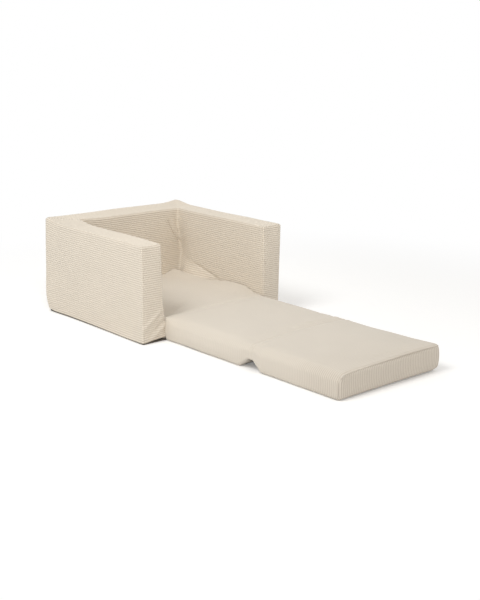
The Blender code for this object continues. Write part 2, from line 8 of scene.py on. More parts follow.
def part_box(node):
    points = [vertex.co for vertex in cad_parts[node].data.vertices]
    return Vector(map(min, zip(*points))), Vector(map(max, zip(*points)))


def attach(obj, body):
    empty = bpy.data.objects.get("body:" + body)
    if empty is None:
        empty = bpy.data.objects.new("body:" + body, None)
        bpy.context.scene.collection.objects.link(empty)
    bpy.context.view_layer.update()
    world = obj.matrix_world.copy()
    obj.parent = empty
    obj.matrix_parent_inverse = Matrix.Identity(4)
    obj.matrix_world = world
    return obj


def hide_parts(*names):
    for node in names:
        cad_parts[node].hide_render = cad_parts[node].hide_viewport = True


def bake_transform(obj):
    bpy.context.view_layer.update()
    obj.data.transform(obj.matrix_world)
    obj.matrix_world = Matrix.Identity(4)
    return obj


# A child's foam armchair in wide-wale corduroy, opened out flat. Metres, in the frame's own axes.
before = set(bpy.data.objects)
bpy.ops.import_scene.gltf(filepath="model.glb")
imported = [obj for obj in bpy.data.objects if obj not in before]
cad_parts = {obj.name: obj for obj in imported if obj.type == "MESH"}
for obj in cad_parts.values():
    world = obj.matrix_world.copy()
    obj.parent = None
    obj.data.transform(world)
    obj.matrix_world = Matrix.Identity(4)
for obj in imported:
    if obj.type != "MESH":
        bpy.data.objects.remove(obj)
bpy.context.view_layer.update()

# Corduroy
WALE_PITCH = 0.0066
WALE_DEPTH = 0.0015
WALE_KNOT_SHARES = (0.0, 0.2, 0.5, 0.8)
WALE_KNOT_GAP = WALE_PITCH / 10
WALE_ROUNDNESS = 4
WALE_FADE = 0.004
CLOTH_THICKNESS = 0.0012

# Unevenness of each cloth over its foam: size, height and seed
RIPPLES = {
    "sides": (0.16, 0.0018, 3.0),
    "top": (0.13, 0.0018, 8.0),
    "base": (0.10, 0.0022, 11.0),
    "seat": (0.11, 0.0018, 21.0),
    "backrest": (0.11, 0.0018, 34.0),
}

# Shell
SHELL_CORNER = 0.013
SHELL_FRONT_CORNER = 0.009
SHELL_INNER_CORNER = 0.007
SHELL_EDGE = 0.006
SHELL_FOOT = 0.009
SHELL_LIFT = 0.0042
SHELL_STEP = 0.0105
CREASED_REACH = 0.06
SEAM_WIDTH = 0.0018
SEAM_RIDGE = 0.0014
SHELF_WIDTH = 0.015
COVER_GAP = 0.0003
RIGHT_LEAN = 0.002
RIGHT_SPREAD = 0.008
LEFT_SPREAD = 0.003
LEFT_FOOT = 0.008
LEFT_FOOT_HEIGHT = 0.09
BACK_CROWN = 0.006

# Cushions
BOX_HEIGHT = 0.071
LONG_EDGE = 0.022
RIGHT_EDGE_SHARE = 0.4
HINGE_EDGE_SHARE = 0.25
HINGE_EDGE_REACH = 0.05
RIGHT_RISE = 0.005
BASE_EDGE = 0.006
BOTTOM_EDGE = 0.010
FREE_RADII = (0.010, 0.012)
FREE_FOOT_EDGE = 0.020
FREE_CORNER_REACH = 0.030
FREE_SIDE_BULGE = 0.007
JOINED_RADII = (0.006, 0.002)
CROWN_SPAN = 0.150
DRAW_IN = 0.003
BULGE = 0.0035
FREE_LIFT = 0.003
NOSE_RISE = 0.035
NOSE_REACH = 0.043
NOSE_TOP = 0.061
SEAM_TUCK = 0.0022
SEAM_SPREAD = 0.0028
FOLD_SHIFT = 0.020
FOLD_REACH = 0.12
RING_STEP = 0.007
WELT_RADIUS = 0.0020
WELT_SINK = 0.005
WELT_SIDES = 8
WELT_STEP = 0.004
SEAT_CORD_SHARE = 0.4
FREE_CORD_SHARE = 0.9
TOP_WEAR_SHARE = 0.4
BASE_CORD_SHARE = 0.5
FREE_CORD_REACH = 0.25
WELT_TONE = 0.9

# Where the backrest's free top corners give: side, reach and shift
FREE_PULLS = (
    (1, 0.12, (0.004, 0.0, 0.002)),
    (-1, 0.03, (0.0, 0.0, -0.003)),
)

# Hinge strips
STRIP_LAP = 0.009
STRIP_RISE = 0.0007
STRIP_SINK = 3 * STRIP_RISE
STRIP_SINK_POWER = 6
STRIP_CREASE = 0.0016
STRIP_CREASE_TIGHTNESS = 10
STRIP_FOOT = 0.031

# Swelling
COARSE_STEP = 0.014
SIM_FRAMES = 20
PRESSURE = 4.0
STIFFNESS = 30
BENDING = 1.0
MOST_MOVE = 0.004
LEAST_MOVE = 0.0008
HELD_END = 0.016

# Zips
TAPE_THICKNESS = 0.0009
TAPE_GAP = 0.0009
TOOTH_PITCH = 0.0019
TOOTH_SIDES = 8
TOOTH_WIDTH_SHARE = 0.4
TOOTH_TIP_SHARE = 0.6
ZIP_CREASE = 0.6

# Underside
PANEL_INSET = 0.0065
PANEL_STEP = 0.0085
DOT_RADIUS = 0.0021
DOT_HEIGHT = 0.0006
DOT_SIDES = 8
DOT_TIP_SHARE = 0.75

# Beds of the zips
ZIP_BED_REACH = 0.010
ZIP_BED_FADE = 0.005
ZIP_BED_END = 0.008
ZIP_BED_DEPTH = 0.0022

CORNER_STEPS = 6
TINY = 1e-9


# Places that the frame gives
shell_low, shell_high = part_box("shell_cover")
base_low, base_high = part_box("base_cover")
seat_low, seat_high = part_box("seat_cover")
back_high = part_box("backrest_cover")[1]
inner_half = base_high.x + COVER_GAP
back_inner = base_high.y + COVER_GAP
fold_gap = (seat_low.y + back_high.y) / 2


def spread(low, high, step):
    """Even places from low to high, about a step apart."""
    return np.linspace(low, high, max(1, round((high - low) / step)) + 1)


def wale_places(low, high):
    """Places from low to high with one on each groove, shoulder and crest of the wales."""
    wales = range(math.floor(low / WALE_PITCH), math.ceil(high / WALE_PITCH))
    places = [(wale + share) * WALE_PITCH for wale in wales for share in WALE_KNOT_SHARES]
    inner = [place for place in places if low + WALE_KNOT_GAP < place < high - WALE_KNOT_GAP]
    return np.array([low, *inner, high])


def wale_height(across):
    """Height of the cord, from 0 in a groove to 1 on a crest."""
    return 1 - np.abs(np.cos(np.pi * across / WALE_PITCH)) ** WALE_ROUNDNESS


def worn_cord(across, share, fade=1):
    """Height of cord whose grooves are only a share as deep, and fade out."""
    return 1 - share * (1 - wale_height(across)) * fade


def cord_places(across, along, height):
    """Each point's place across and along the wales, and the cord's height there, which also sets the
    painted shade in the grooves.
    """
    return np.stack(np.broadcast_arrays(across, along, height), axis=2)


def ease(share):
    share = np.clip(share, 0, 1)
    return share * share * (3 - 2 * share)


def arc_inset(distance, radius):
    """How far a rounded corner has drawn the side in, this far from the end."""
    rest = np.clip(radius - distance, 0, radius)
    return radius - np.sqrt(radius ** 2 - rest ** 2)


def arc_places(radius):
    """Distances from an end that sample its rounded corner evenly."""
    return radius * (1 - np.cos(np.linspace(0, math.pi / 2, CORNER_STEPS + 1)))


def cubic_weights(coarse, fine):
    """Matrix from values at coarse places to a smooth curve's values at fine ones."""
    index = np.clip(np.searchsorted(coarse, fine, side="right") - 1, 0, len(coarse) - 2)
    width = (coarse[index + 1] - coarse[index])[:, None]
    share = (fine[:, None] - coarse[index][:, None]) / width
    unit = np.eye(len(coarse))
    slope = np.gradient(unit, coarse, axis=0)
    near = (1 + 2 * share) * (1 - share) ** 2 * unit[index] + share ** 2 * (3 - 2 * share) * unit[index + 1]
    bend = share * (1 - share) ** 2 * slope[index] - share ** 2 * (1 - share) * slope[index + 1]
    return near + width * bend


def refine(values, rows, columns):
    """Values on a coarse grid carried to a fine one. Rows and columns are the weights."""
    return np.einsum("ia,abk,jb->ijk", rows, values, columns)


def loop_weights(coarse, fine, length):
    """As cubic_weights, for places round a closed loop."""
    pad = 3
    longer = np.concatenate([coarse[-pad:] - length, coarse, coarse[:pad] + length])
    weights = cubic_weights(longer, fine)
    count = len(coarse)
    folded = weights[:, pad:pad + count].copy()
    folded[:, -pad:] += weights[:, :pad]
    folded[:, :pad] += weights[:, pad + count:]
    return folded


def border(grid):
    """A grid's border, anticlockwise from its first corner."""
    return np.concatenate([grid[0, :-1], grid[:-1, -1], grid[-1, :0:-1], grid[:0:-1, 0]])


def rectangle(xs, ys):
    """Points round a rectangle from its first corner, along xs first."""
    return border(np.stack(np.meshgrid(xs, ys), axis=2))


def at_height(plan, height):
    """A plan's points, all at one height."""
    return np.concatenate([plan, np.full((len(plan), 1), height)], axis=1)


def way_round(loop):
    """How far along a closed loop each of its points lies, and the loop's whole length."""
    steps = np.linalg.norm(np.roll(loop, -1, axis=0) - loop, axis=1)
    return np.concatenate([[0], np.cumsum(steps)[:-1]]), steps.sum()


def normals_of(points, closed=False):
    """Unit normals of a grid whose columns run to the right and rows go up, seen from outside."""
    rise = np.gradient(points, axis=0)
    along = np.gradient(points, axis=1)
    if closed:
        along = np.roll(points, -1, axis=1) - np.roll(points, 1, axis=1)
    normal = np.cross(along, rise)
    return normal / (np.linalg.norm(normal, axis=2, keepdims=True) + TINY)


def raised(points, lift, closed=False):
    """A grid's points moved out along its normals."""
    return points + normals_of(points, closed) * lift[..., None]


class Cloth:
    """Grids of points joined into one mesh. Each point keeps its place on the corduroy."""

    def __init__(self):
        self.points = np.zeros((0, 3))
        self.places = np.zeros((0, 3))
        self.faces = []

    def add_grid(self, points, places=None, closed=False, flip=False, edge=None):
        """Adds a grid. Where an edge is given, its points take the place of the grid's border."""
        shape = points.shape[:2]
        first = len(self.points)
        self.points = np.concatenate([self.points, points.reshape(-1, 3)])
        places = points if places is None else places
        self.places = np.concatenate([self.places, places.reshape(-1, 3)])
        index = np.arange(first, len(self.points)).reshape(shape)
        if edge is not None:
            rows, columns = np.indices(shape)
            index[border(rows), border(columns)] = edge
        left = index if closed else index[:, :-1]
        right = np.roll(index, -1, axis=1) if closed else index[:, 1:]
        quads = np.stack([left[:-1], right[:-1], right[1:], left[1:]], axis=2).reshape(-1, 4)
        self.faces += (quads[:, ::-1] if flip else quads).tolist()
        return index

    def add_sheet(self, outside, inside, places):
        """A sheet with two sides and a rim between them."""
        upper = self.add_grid(outside, places)
        lower = self.add_grid(inside, places, flip=True)
        self.bridge(border(lower), border(upper))

    def bridge(self, lower, upper):
        """Triangles between two loops of unlike spacing that start side by side."""
        ways = [way_round(self.points[loop]) for loop in (lower, upper)]
        shares = [np.append(way / length, 1.0) for way, length in ways]
        low = up = 0
        while low < len(lower) or up < len(upper):
            here, above = lower[low % len(lower)], upper[up % len(upper)]
            if up == len(upper) or (low < len(lower) and shares[0][low + 1] <= shares[1][up + 1]):
                low += 1
                self.faces.append([here, lower[low % len(lower)], above])
            else:
                up += 1
                self.faces.append([here, upper[up % len(upper)], above])

    def cap(self, loop):
        """One face over a closed loop."""
        self.faces.append([int(corner) for corner in loop])

    def compact(self):
        """The points that the faces use, and the faces numbered by them."""
        used = np.unique(np.concatenate([np.array(face) for face in self.faces]))
        renumber = np.zeros(len(self.points), int)
        renumber[used] = np.arange(len(used))
        return used, [[int(renumber[corner]) for corner in face] for face in self.faces]

    def build(self, name, material, body=None):
        used, faces = self.compact()
        mesh = bpy.data.meshes.new(name)
        mesh.from_pydata(self.points[used].tolist(), [], faces)
        places = mesh.attributes.new("cord", "FLOAT_VECTOR", "POINT")
        places.data.foreach_set("vector", self.places[used].astype(np.float32).ravel())
        mesh.shade_smooth()
        piece = add_object(name, mesh, material)
        if body:
            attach(piece, body)
        return piece


def link_object(name, data):
    piece = bpy.data.objects.new(name, data)
    bpy.context.scene.collection.objects.link(piece)
    return piece


def add_object(name, mesh, material):
    mesh.materials.append(material)
    return link_object(name, mesh)


def swell(points, faces, held):
    """Cloth simulation of a cover over its foam. Returns how far each point moved."""
    mesh = bpy.data.meshes.new("swelling")
    mesh.from_pydata(points.tolist(), [], faces)
    piece = link_object("swelling", mesh)
    pins = piece.vertex_groups.new(name="held")
    pins.add(held.tolist(), 1.0, "REPLACE")
    cloth = piece.modifiers.new("cloth", "CLOTH")
    cloth.settings.use_pressure = True
    cloth.settings.uniform_pressure_force = PRESSURE
    cloth.settings.tension_stiffness = STIFFNESS
    cloth.settings.compression_stiffness = STIFFNESS
    cloth.settings.bending_stiffness = BENDING
    cloth.settings.vertex_group_mass = "held"
    cloth.settings.effector_weights.gravity = 0
    cloth.point_cache.frame_start = 1
    cloth.point_cache.frame_end = SIM_FRAMES
    for step in range(1, SIM_FRAMES + 1):
        bpy.context.scene.frame_set(step)
    ready = piece.evaluated_get(bpy.context.evaluated_depsgraph_get())
    after = np.array([vertex.co for vertex in ready.data.vertices])
    normals = np.array([vertex.normal for vertex in mesh.vertices])
    bpy.context.scene.frame_set(1)
    bpy.data.objects.remove(piece)
    moved = after - points
    length = np.linalg.norm(moved, axis=1, keepdims=True) + TINY
    outward = (moved * normals).sum(axis=1, keepdims=True) / length
    most = LEAST_MOVE + (MOST_MOVE - LEAST_MOVE) * ease(outward)
    return moved * np.minimum(1, most / length)


def ripples(points, size, height, seed):
    """Slow unevenness of cloth over foam, as a height at each point."""
    shift = Vector((seed, seed * 2, seed * 3))
    flat = points.reshape(-1, 3)
    values = [noise.noise(Vector(point) / size + shift) for point in flat.tolist()]
    return height * np.array(values).reshape(points.shape[:-1])


def along_line(points, start, end):
    """A line from start to end, and each point's share of the way along it."""
    line = np.array(end) - np.array(start)
    return line, np.clip(((points - np.array(start)) @ line) / (line @ line), 0, 1)


def fold(points, start, end, width, height):
    """Height of a ridge along a line between two points, with soft ends and sides."""
    line, along = along_line(points, start, end)
    gap = np.linalg.norm(points - np.array(start) - along[..., None] * line, axis=-1)
    return height * np.exp(-(gap / width) ** 2) * np.sqrt(np.sin(np.pi * along))


def shelf(points, start, end, reach, height):
    """Height of cloth that slants outward below a line down the right arm's inside."""
    line, along = along_line(points, start, end)
    drop = start[2] + along * line[2] - points[..., 2]
    beside = np.exp(-((points[..., 0] - inner_half) / SHELF_WIDTH) ** 2)
    return height * beside * ease(drop / reach) * np.sin(np.pi * along)


def hill(x, y, centre, reach, height):
    """Height of a soft hill, or of a hollow where the height is below 0."""
    return height * np.exp(-((x - centre[0]) / reach[0]) ** 2 - ((y - centre[1]) / reach[1]) ** 2)


def pull(points, centre, reach, shift):
    """Points near a place moved by a shift that fades out around it."""
    gap = np.linalg.norm((points - np.array(centre)) / reach, axis=-1, keepdims=True)
    return points + np.array(shift) * np.exp(-gap ** 2)


def zip_bed(points, node):
    """1 over a zip and its margin, fading to 0 around it."""
    low, high = (np.array(corner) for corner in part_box(node))
    longest = np.argmax(high - low)
    low[longest] -= ZIP_BED_END
    high[longest] += ZIP_BED_END
    away = np.maximum(np.maximum(low - points, points - high), 0)
    gap = np.linalg.norm(away, axis=-1)
    return ease((ZIP_BED_REACH - gap) / ZIP_BED_FADE)


def bedded(lift, points, node):
    """Heights of the cloth, level and sunk under a zip."""
    bed = zip_bed(points, node)
    return lift * (1 - bed) - ZIP_BED_DEPTH * bed


# Materials

# Groove colours are darker than the crests: painted shade in the grooves
CREAM_CREST = (0.742, 0.678, 0.582)
CREAM_GROOVE_SHADE = (0.56, 0.487, 0.398)
# A darker copy of the cream cloth: painted shade on the loose cushions, the base, the hinge strips and the
# piping
SHADE_DIMMED_CREST = (0.678, 0.620, 0.537)
SHADE_DIMMED_GROOVE = (0.49, 0.425, 0.350)
TAPE_COLOUR = (0.60, 0.54, 0.45)
NYLON_COLOUR = (0.66, 0.59, 0.49)
METAL_COLOUR = (0.63, 0.61, 0.58)
PANEL_COLOUR = (0.13, 0.11, 0.09)
TAPE_THREAD = 0.0008
PANEL_THREAD = 0.0012
PILE_SCALE = (1400, 500, 0)
PILE_RELIEF = 0.0006
THREAD_RELIEF = 0.0003
SCRATCH_SCALE = (300, 2500, 2500)
SCRATCH_RELIEF = 0.0001


def new_material(name):
    """New material, the tree of its nodes, and its own shader."""
    material = bpy.data.materials.new(name)
    material.use_nodes = True
    return material, material.node_tree, material.node_tree.nodes["Principled BSDF"]


def feed(tree, node, inputs):
    """Gives a node's inputs their values, or links them to other nodes' outputs."""
    for key, value in inputs.items():
        if isinstance(value, bpy.types.NodeSocket):
            tree.links.new(value, node.inputs[key])
        else:
            node.inputs[key].default_value = value
    return node


def add_node(tree, kind, output, inputs):
    """One output of a new node."""
    return feed(tree, tree.nodes.new(kind), inputs).outputs[output]


def calculate(tree, operation, *values):
    node = tree.nodes.new("ShaderNodeMath")
    node.operation = operation
    return feed(tree, node, dict(enumerate(values))).outputs["Value"]


def rescale(tree, value, low=0.0, high=1.0, full=1.0):
    """A value between 0 and full carried to one between low and high."""
    inputs = {"Value": value, "From Max": full, "To Min": low, "To Max": high}
    return add_node(tree, "ShaderNodeMapRange", "Result", inputs)


def mix_colours(tree, share, first, second):
    mix = tree.nodes.new("ShaderNodeMix")
    mix.data_type = "RGBA"
    return feed(tree, mix, {"Factor": share, "A": (*first, 1), "B": (*second, 1)}).outputs["Result"]


def uneven(tree, share, colour, depth):
    """A colour that is darker, down to a share of itself, where a value is low."""
    return mix_colours(tree, share, [part * depth for part in colour], colour)


def grain(tree, place, scale, detail=2.0):
    """Noise between 0 and 1."""
    return add_node(tree, "ShaderNodeTexNoise", "Fac", {"Vector": place, "Scale": scale, "Detail": detail})


def relief(tree, height, strength, distance):
    """Normals of a fine relief that the mesh doesn't hold."""
    inputs = {"Height": height, "Strength": strength, "Distance": distance}
    return add_node(tree, "ShaderNodeBump", "Normal", inputs)


def own_place(tree):
    return tree.nodes.new("ShaderNodeTexCoord").outputs["Object"]


def stretch(tree, place, scale):
    return add_node(tree, "ShaderNodeMapping", "Vector", {"Vector": place, "Scale": scale})


def corduroy(name, crest, groove):
    """Ribbed cotton: grooves darker than crests as painted shade, brushed pile, and a soft sheen."""
    material, tree, shader = new_material(name)
    cord = tree.nodes.new("ShaderNodeAttribute")
    cord.attribute_name = "cord"
    place = cord.outputs["Vector"]
    height = add_node(tree, "ShaderNodeSeparateXYZ", "Z", {"Vector": place})
    pile = grain(tree, stretch(tree, place, PILE_SCALE), scale=1.0, detail=3.0)
    patches = grain(tree, own_place(tree), scale=9.0, detail=4.0)
    both = calculate(tree, "MULTIPLY_ADD", pile, 0.5, calculate(tree, "MULTIPLY", patches, 0.5))
    # Painted shade: the lower the cord, the nearer its colour is to the dark groove colour
    rib = mix_colours(tree, rescale(tree, height, full=0.8), groove, crest)
    inputs = {"Value": rescale(tree, both, low=0.93, high=1.07), "Color": rib}
    feed(tree, shader, {
        "Base Color": add_node(tree, "ShaderNodeHueSaturation", "Color", inputs),
        "Normal": relief(tree, pile, strength=0.35, distance=PILE_RELIEF),
        "Roughness": 0.92,
        "Specular IOR Level": 0.25,
        "Sheen Weight": 0.25,
        "Sheen Roughness": 0.5})
    return material


def woven(name, colour, thread):
    """Plain weave: two sets of threads as fine bands, with uneven colour."""
    material, tree, shader = new_material(name)
    bands = []
    for direction in ("X", "Y"):
        band = tree.nodes.new("ShaderNodeTexWave")
        band.bands_direction = direction
        feed(tree, band, {"Vector": own_place(tree), "Scale": 1 / thread, "Distortion": 1.0})
        bands.append(band.outputs["Fac"])
    weave = calculate(tree, "MAXIMUM", *bands)
    feed(tree, shader, {
        "Base Color": uneven(tree, weave, colour, depth=0.8),
        "Normal": relief(tree, weave, strength=0.4, distance=THREAD_RELIEF),
        "Roughness": 0.85})
    return material


def brushed_metal(name, colour):
    """Plated metal with fine scratches and an uneven polish."""
    material, tree, shader = new_material(name)
    scratches = grain(tree, stretch(tree, own_place(tree), SCRATCH_SCALE), scale=1.0)
    feed(tree, shader, {
        "Base Color": uneven(tree, scratches, colour, depth=0.85),
        "Normal": relief(tree, scratches, strength=0.15, distance=SCRATCH_RELIEF),
        "Roughness": rescale(tree, scratches, low=0.22, high=0.42),
        "Metallic": 1.0})
    return material


def nylon(name, colour):
    """Moulded nylon: a soft gloss and slightly uneven colour."""
    material, tree, shader = new_material(name)
    specks = grain(tree, own_place(tree), scale=900.0)
    feed(tree, shader, {
        "Base Color": uneven(tree, specks, colour, depth=0.85),
        "Roughness": rescale(tree, specks, low=0.3, high=0.5)})
    return material


cord_cloth = corduroy("cream_corduroy", CREAM_CREST, CREAM_GROOVE_SHADE)
# Same corduroy made darker, as painted shade for the loose parts
shade_dimmed_cloth = corduroy("shade_dimmed_corduroy", SHADE_DIMMED_CREST, SHADE_DIMMED_GROOVE)
tape_cloth = woven("zip_tape_cloth", TAPE_COLOUR, TAPE_THREAD)
coil_nylon = nylon("zip_nylon", NYLON_COLOUR)
puller_metal = brushed_metal("plated_metal", METAL_COLOUR)
panel_cloth = woven("nonslip_cloth", PANEL_COLOUR, PANEL_THREAD)


# Shell

# Folds in the left arm's front, counted from its inner foot: start, end, width and height
ARM_FOLDS = (
    ((-0.004, 0.0, 0.104), (-0.080, 0.0, 0.040), 0.0060, 0.0036),
    ((-0.006, 0.0, 0.090), (-0.072, 0.0, 0.026), 0.0055, -0.0032),
    ((-0.006, 0.0, 0.078), (-0.062, 0.0, 0.043), 0.0050, 0.0028),
    ((0.004, 0.0, 0.068), (-0.056, 0.0, 0.020), 0.0050, -0.0034),
    ((0.010, 0.0, 0.058), (-0.050, 0.0, 0.010), 0.0055, 0.0034),
    ((0.004, 0.0, 0.100), (0.006, 0.0, 0.010), 0.0030, 0.0035),
    ((0.0, 0.0, 0.074), (0.002, 0.0, 0.006), 0.0022, -0.0045),
)

# Creases of the well's walls: start, end, width and height. Two run a little into the arm
CREASE_LAP = 0.010
WELL_FOLDS = (
    ((0.160, back_inner, 0.262), (inner_half + CREASE_LAP, back_inner, 0.150), 0.0036, -0.0060),
    ((0.172, back_inner, 0.262), (inner_half + CREASE_LAP, back_inner, 0.165), 0.0060, 0.0030),
    ((inner_half, 0.455, 0.123), (inner_half, 0.310, 0.085), 0.0035, -0.0045),
)

# Slant of the cloth down the right arm's inside: start, end, reach and height
ARM_SHELF = ((inner_half, back_inner, 0.150), (inner_half, 0.290, 0.078), 0.045, 0.014)


def shell_ways():
    """Length of the arm's stretch and the corner's along the shell, and of the whole."""
    arm_way = back_inner - shell_low.y
    corner_way = (shell_high.x - inner_half) / 2 * math.pi / 2
    return arm_way, corner_way, 2 * (arm_way + corner_way + inner_half)


def shell_edges(ways, inset):
    """Outer and inner edges of the shell's plan at places along it, from one arm's front to the other's."""
    front = shell_low.y + inset
    arm_way, corner_way, total = shell_ways()
    mirrored = ways > total / 2
    way = np.where(mirrored, total - ways, ways)
    on_arm = np.clip(way / arm_way, 0, 1)
    turn = np.clip((way - arm_way) / corner_way, 0, 1) * math.pi / 2
    on_back = np.clip((way - arm_way - corner_way) / (total / 2 - arm_way - corner_way), 0, 1)
    sides = ((shell_high.x - inset, SHELL_CORNER, shell_high.y - inset, 1),
             (inner_half + inset, SHELL_INNER_CORNER, back_inner + inset, -1))
    edges = []
    for reach, radius, end, into in sides:
        x = -reach + radius * (1 - np.cos(turn)) + on_back * (reach - radius)
        y = front + on_arm * (end - radius - front) + radius * np.sin(turn)
        x = x + into * arc_inset(y - front, SHELL_FRONT_CORNER)
        edges.append(np.stack([np.where(mirrored, -x, x), y], axis=1))
    return edges


def shell_knots():
    """Places along the shell: close together at its front corners, its rear ones and the creases."""
    arm_way, corner_way, total = shell_ways()
    arcs = arc_places(SHELL_FRONT_CORNER)
    seam = arcs[-1] + SEAM_WIDTH * np.arange(1, CORNER_STEPS)
    arm = np.concatenate([arcs, seam, spread(seam[-1], arm_way, SHELL_STEP)[1:]])
    corner = arm_way + corner_way * np.linspace(0, 1, CORNER_STEPS + 1)[1:]
    creased = spread(corner[-1], corner[-1] + CREASED_REACH, SHELL_STEP / 3)[1:]
    back = np.concatenate([creased, spread(creased[-1], total / 2, SHELL_STEP)[1:]])
    half = np.concatenate([arm, corner, back])
    return np.concatenate([half, (total - half[:-1])[::-1]])


def shell_grid(ways, shares, inset):
    """Plan of the shell's top, one row for each place along it, from its outer edge to its inner."""
    outer, inner = shell_edges(ways, inset)
    return outer[:, None] + shares[None, :, None] * (inner - outer)[:, None]


def shell_rows(heights):
    """How far in the belt stands at each height: its foot and top edge are rounded."""
    foot = arc_inset(heights - shell_low.z, SHELL_FOOT) / 2
    top = arc_inset(shell_high.z - heights, SHELL_EDGE)
    return foot + top


def shell_belt(ways, shares, heights):
    """The shell's sides as rows that run right round it, and the plan that they follow."""
    plain = border(shell_grid(ways, shares, 0.0))
    drawn = border(shell_grid(ways, shares, SHELL_EDGE))
    shift = (drawn - plain) / SHELL_EDGE
    insets = shell_rows(heights)
    plan = plain[None] + insets[:, None, None] * shift[None]
    tall = np.broadcast_to(heights[:, None, None], (*plan.shape[:2], 1))
    return np.concatenate([plan, tall], axis=2), plain


def shell_lid(ways, shares, inset, height, rise):
    """The shell's top or underside, which rises from its border over a rounded edge."""
    plan = shell_grid(ways, shares, inset)
    edge = np.minimum(shares, 1 - shares) * (shell_high.x - inner_half)
    ends = np.minimum(ways, ways[-1] - ways)
    gap = np.minimum(edge[None, :], ends[:, None])
    up = height + rise * np.sqrt(1 - (1 - np.clip(gap / SHELL_EDGE, 0, 1)) ** 2)
    return np.concatenate([plan, up[..., None]], axis=2)


def shell_pulls():
    """Where the slack cover gives: place, reach and shift."""
    half, rear, top = shell_high
    front = shell_low.y
    middle = (half + inner_half) / 2
    return (
        ((half, rear, top), 0.05, (-0.010, 0.0, 0.007)),
        ((inner_half, back_inner, top), 0.06, (0.010, 0.0, -0.002)),
        ((inner_half, back_inner, 0.14), (0.05, 0.05, 0.10), (0.026, 0.002, 0.0)),
        ((-inner_half, back_inner, top), 0.06, (0.006, 0.0, 0.006)),
        ((-half, rear, top), 0.05, (0.0, 0.0, 0.004)),
        ((-half, rear, 0.05), 0.08, (-0.007, 0.003, 0.0)),
        ((-half, rear, 0.18), (0.05, 0.05, 0.12), (-0.004, 0.003, 0.0)),
        ((-0.05, rear, top), (0.18, 0.05, 0.08), (0.0, 0.0, 0.004)),
        ((-inner_half, front, 0.0), 0.07, (0.0, 0.0, 0.006)),
        ((-half, front, 0.0), (0.03, 0.25, 0.02), (0.0, 0.0, -0.0026)),
        ((-inner_half, front, top), (0.05, 0.14, 0.18), (-0.007, 0.0, 0.0)),
        ((-middle, front, top), 0.03, (0.0, 0.004, -0.002)),
        ((middle, front, top), 0.03, (0.0, 0.004, -0.002)),
        ((-half, rear, 0.0), 0.03, (0.003, -0.004, 0.003)))


def settle_shell(points):
    """The slack of the shell: a crowned back, soft corners, and arms that lean and widen at the foot."""
    half, rear, top = shell_high
    x, y, z = np.moveaxis(points, -1, 0)
    low = 1 - z / top
    forward = ease((rear - y) / (rear - shell_low.y))
    outer = ease((np.abs(x) - inner_half) / (half - inner_half))
    right_lean = -(RIGHT_LEAN + RIGHT_SPREAD * outer) * low
    left_foot = LEFT_FOOT * (1 - outer) * np.exp(-(z / LEFT_FOOT_HEIGHT) ** 4)
    left_lean = -LEFT_SPREAD * outer * (1 + low ** 2) + left_foot
    x = x + np.where(x > 0, right_lean, left_lean) * forward ** 3
    z = z + BACK_CROWN * ease((y - back_inner) / (rear - back_inner)) * (1 - low) ** 3
    points = np.stack([x, y, z], axis=-1)
    for centre, reach, shift in shell_pulls():
        points = pull(points, centre, reach, shift)
    return points


def shell_folds(points):
    """Folds and creases of the shell's cover, as heights along its normals."""
    foot = np.array((-inner_half, shell_low.y, 0.0))
    total = ripples(points, *RIPPLES["sides"])
    for start, end, width, height in ARM_FOLDS:
        total += fold(points, foot + start, foot + end, width, height)
    for start, end, width, height in WELL_FOLDS:
        total += fold(points, start, end, width, height)
    return total + shelf(points, *ARM_SHELF)


def shell_seams(points):
    """Ridges of the seams down the front corners of the arms, each between two grooves."""
    from_side = np.minimum(np.abs(np.abs(points[..., 0]) - shell_high.x),
                           np.abs(np.abs(points[..., 0]) - inner_half))
    gap = np.hypot(from_side, points[..., 1] - shell_low.y) - SHELL_FRONT_CORNER / 2
    groove = np.exp(-((gap - 2 * SEAM_WIDTH) / SEAM_WIDTH) ** 2)
    return SEAM_RIDGE * (np.exp(-(gap / SEAM_WIDTH) ** 2) - groove)


def make_shell():
    thick = shell_high.x - inner_half
    ways = shell_knots()
    shares = wale_places(0.0, thick) / thick
    top_height = shell_high.z - SHELL_EDGE / 3
    heights = wale_places(shell_low.z + SHELL_LIFT, top_height)
    belt, plain = shell_belt(ways, shares, heights)
    insets = shell_rows(heights)

    # Sides, with their wales level
    rib = wale_height(heights)[:, None]
    lift = bedded(shell_folds(belt) + shell_seams(belt) + WALE_DEPTH * (rib - 1), belt, "shell_zip")
    places = cord_places(heights[:, None], way_round(plain)[0], rib)
    cover = Cloth()
    index = cover.add_grid(raised(settle_shell(belt), lift, closed=True), places, closed=True)

    # Top and underside, with wales that run along the arms
    across = (shares * thick)[None]
    rib = wale_height(across)
    places = cord_places(across, ways[:, None], rib)
    top = settle_shell(shell_lid(ways, shares, insets[-1], top_height, shell_high.z - top_height))
    lift = ripples(top, *RIPPLES["top"]) + WALE_DEPTH * (rib - 1)
    cover.add_grid(raised(top, lift), places, edge=index[-1])
    under = settle_shell(shell_lid(ways, shares, insets[0], shell_low.z + SHELL_LIFT, 0.0))
    cover.add_grid(under, places, flip=True, edge=index[0])
    piece = cover.build("shell_fabric", cord_cloth, "shell")
    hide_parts("shell_cover", "left_arm_foam", "right_arm_foam", "back_foam")


# Loose cushions


def round_off(first, second, radius):
    """Distances from two faces, moved so that the edge between the faces is rounded."""
    one, two = np.maximum(radius - first, 0), np.maximum(radius - second, 0)
    square = np.maximum(one, two) / np.maximum(np.hypot(one, two), TINY)
    square = np.where((one > 0) & (two > 0), square, 1)
    return first + one * (1 - square), second + two * (1 - square)


